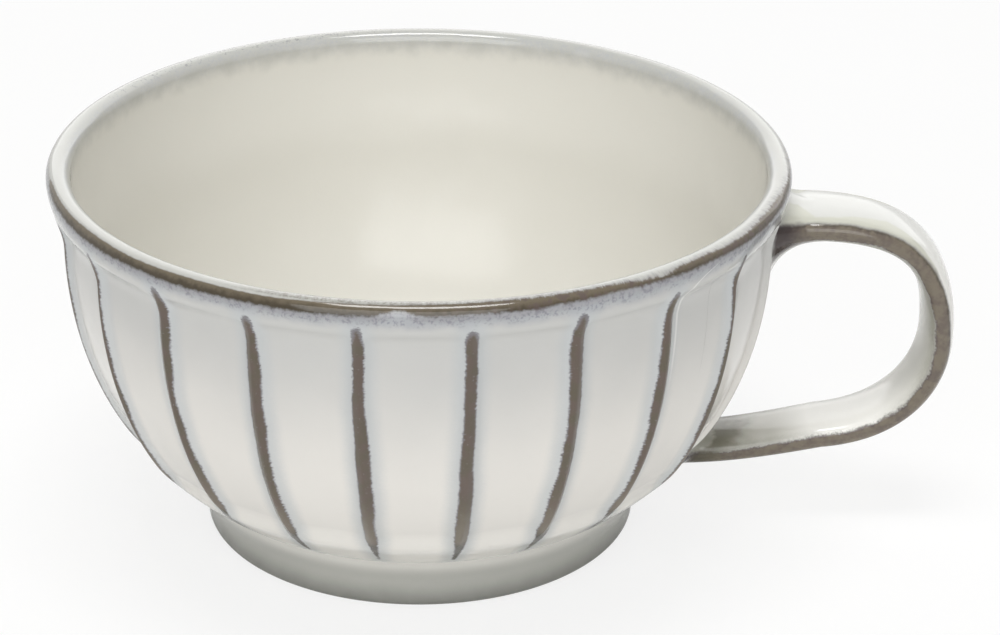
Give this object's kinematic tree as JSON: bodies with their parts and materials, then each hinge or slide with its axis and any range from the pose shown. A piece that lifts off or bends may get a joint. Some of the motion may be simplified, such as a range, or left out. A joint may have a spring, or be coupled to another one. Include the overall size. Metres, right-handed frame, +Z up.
{
  "type": "cappuccino cup",
  "caption": "Round fluted cappuccino cup in glazed stoneware with a rounded lip, a low foot ring and a strap handle that makes a finger loop; holds a hot milk coffee.",
  "frame": {"origin": "on the table plane that the foot ring stands on, under the middle of the outline of cup and handle seen from above", "axes": "+Z up along the cup's axis of revolution, +X from the cup towards its handle, +Y to the left of the handle seen from the cup"},
  "size_m": [0.1296, 0.105, 0.056],
  "materials": {
    "body_glaze": "glossy off-white reactive glaze that breaks to brown on the ridges and the lip",
    "foot_glaze": "thin grey glaze on the outside, bare clay where it stands",
    "handle_glaze": "glossy off-white reactive glaze that breaks to brown along the edges"
  },
  "bodies": {
    "root": {"bowl": "body_glaze", "foot_ring": "foot_glaze", "handle": "handle_glaze", "upper_handle_root": "handle_glaze", "lower_handle_root": "handle_glaze"}
  },
  "joints": []
}
